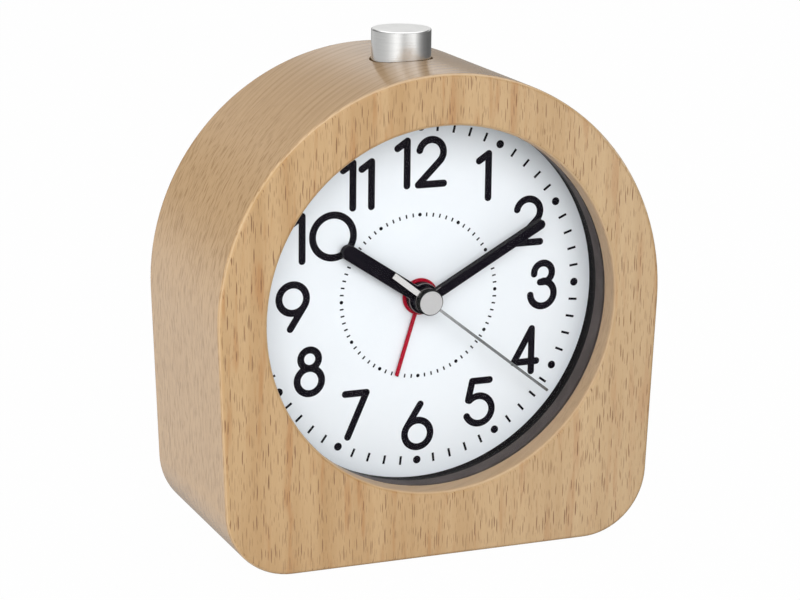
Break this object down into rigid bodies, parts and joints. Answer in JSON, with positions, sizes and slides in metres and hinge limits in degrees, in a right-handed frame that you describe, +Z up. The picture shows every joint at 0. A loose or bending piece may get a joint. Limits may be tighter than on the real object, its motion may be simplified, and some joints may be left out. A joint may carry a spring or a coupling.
{
  "type": "wooden desk clock",
  "caption": "Arch-shaped solid wood alarm clock with a recessed round white dial, black hour and minute hands, silver second hand, red alarm hand and a metal push button on top.",
  "frame": {"origin": "middle of the flat base, halfway between the front and rear faces of the wooden case", "axes": "+Z up, -Y towards the viewer of the dial, +X to the right of that viewer"},
  "size_m": [0.1, 0.047, 0.1103],
  "materials": {
    "beech": "oiled, fine vertical flecks",
    "clear_lens": "clear, polished",
    "ring_grey": "satin moulded",
    "dial_white": "matte printed",
    "housing_black": "moulded",
    "movement_plastic": "moulded",
    "wheel_plastic": "moulded",
    "steel": "bright",
    "magnet": "plain",
    "copper_wire": "enamelled",
    "board_green": "solder mask",
    "chip_black": "moulded",
    "knob_black": "moulded",
    "cover_black": "fine texture",
    "cell_jacket": "plain jacket",
    "button_aluminium": "satin, polished rim",
    "hand_red": "moulded",
    "hand_black": "satin moulded",
    "hand_silver": "satin"
  },
  "bodies": {
    "clock": {"wooden_case": "beech", "lens": "clear_lens", "bezel_ring": "ring_grey", "dial": "dial_white", "dial_carrier": "housing_black", "module_shell": "housing_black", "front_plate": "movement_plastic", "movement_box": "movement_plastic", "movement_screws": "steel", "stator": "steel", "coil_bobbin": "movement_plastic", "coil_winding": "copper_wire", "circuit_board": "board_green", "driver_chip": "chip_black", "quartz_crystal": "steel", "battery": "cell_jacket", "battery_contact_positive": "steel", "battery_contact_negative": "steel", "rear_cover": "cover_black", "cover_screws": "steel", "buzzer": "chip_black", "alarm_switch_body": "housing_black", "button_spring": "steel", "switch_board": "board_green", "snooze_switch": "chip_black"},
    "second": {"second_hand": "hand_silver", "seconds_wheel": "wheel_plastic"},
    "minute": {"minute_hand": "hand_black", "minute_wheel": "wheel_plastic"},
    "hour": {"hour_hand": "hand_black", "hour_wheel": "wheel_plastic"},
    "third": {"third_wheel": "wheel_plastic"},
    "change": {"change_wheel": "wheel_plastic"},
    "intermediate": {"intermediate_wheel": "wheel_plastic"},
    "rotor": {"rotor": "magnet"},
    "time_knob": {"time_set_knob": "knob_black", "time_set_shaft": "wheel_plastic"},
    "alarm_knob": {"alarm_set_knob": "knob_black", "alarm_set_shaft": "wheel_plastic"},
    "alarm": {"alarm_hand": "hand_red", "alarm_wheel": "wheel_plastic"},
    "snooze": {"snooze_button": "button_aluminium", "button_plunger": "housing_black"},
    "alarm_switch": {"alarm_switch_slider": "knob_black"},
    "battery_door": {"battery_door": "cover_black"}
  },
  "joints": [
    {"name": "second_spin", "type": "hinge", "parent": "clock", "child": "second", "pos_m": [0, 0, 0.0539], "axis": [0, 1, 0], "continuous": true},
    {"name": "minute_spin", "type": "hinge", "parent": "clock", "child": "minute", "pos_m": [0, 0, 0.0539], "axis": [0, 1, 0], "continuous": true},
    {"name": "hour_spin", "type": "hinge", "parent": "clock", "child": "hour", "pos_m": [0, 0, 0.0539], "axis": [0, 1, 0], "continuous": true},
    {"name": "third_spin", "type": "hinge", "parent": "clock", "child": "third", "pos_m": [-0.006, 0, 0.06429], "axis": [0, 1, 0], "continuous": true},
    {"name": "change_spin", "type": "hinge", "parent": "clock", "child": "change", "pos_m": [0.0108, 0, 0.0539], "axis": [0, 1, 0], "continuous": true},
    {"name": "intermediate_spin", "type": "hinge", "parent": "clock", "child": "intermediate", "pos_m": [0.00683, 0, 0.06365], "axis": [0, 1, 0], "continuous": true},
    {"name": "rotor_spin", "type": "hinge", "parent": "clock", "child": "rotor", "pos_m": [0.0099, 0, 0.07211], "axis": [0, 1, 0], "continuous": true},
    {"name": "time_knob_spin", "type": "hinge", "parent": "clock", "child": "time_knob", "pos_m": [0.02059, 0, 0.04934], "axis": [0, 1, 0], "continuous": true},
    {"name": "alarm_knob_spin", "type": "hinge", "parent": "clock", "child": "alarm_knob", "pos_m": [-0.01142, 0, 0.04974], "axis": [0, 1, 0], "continuous": true},
    {"name": "alarm_spin", "type": "hinge", "parent": "clock", "child": "alarm", "pos_m": [0, 0, 0.0539], "axis": [0, 1, 0], "continuous": true},
    {"name": "snooze_press", "type": "slide", "parent": "clock", "child": "snooze", "axis": [0, 0, -1], "range_m": [0, 0.0022], "stiffness_N_per_m": 900, "springref_m": -0.0006, "deforming": ["button_spring"]},
    {"name": "alarm_switch_slide", "type": "slide", "parent": "clock", "child": "alarm_switch", "axis": [1, 0, 0], "range_m": [0, 0.004]},
    {"name": "battery_door_lift", "type": "slide", "parent": "clock", "child": "battery_door", "axis": [0, 1, 0], "range_m": [0, 0.02]}
  ],
  "couplings": [
    {"joint": "third_spin", "follows": "second_spin", "ratio": -0.13333},
    {"joint": "minute_spin", "follows": "second_spin", "ratio": 0.016667},
    {"joint": "change_spin", "follows": "second_spin", "ratio": -0.0055556},
    {"joint": "hour_spin", "follows": "second_spin", "ratio": 0.0013889},
    {"joint": "time_knob_spin", "follows": "second_spin", "ratio": 0.016667},
    {"joint": "intermediate_spin", "follows": "second_spin", "ratio": -6},
    {"joint": "rotor_spin", "follows": "second_spin", "ratio": 30},
    {"joint": "alarm_spin", "follows": "alarm_knob_spin", "ratio": -0.35}
  ]
}
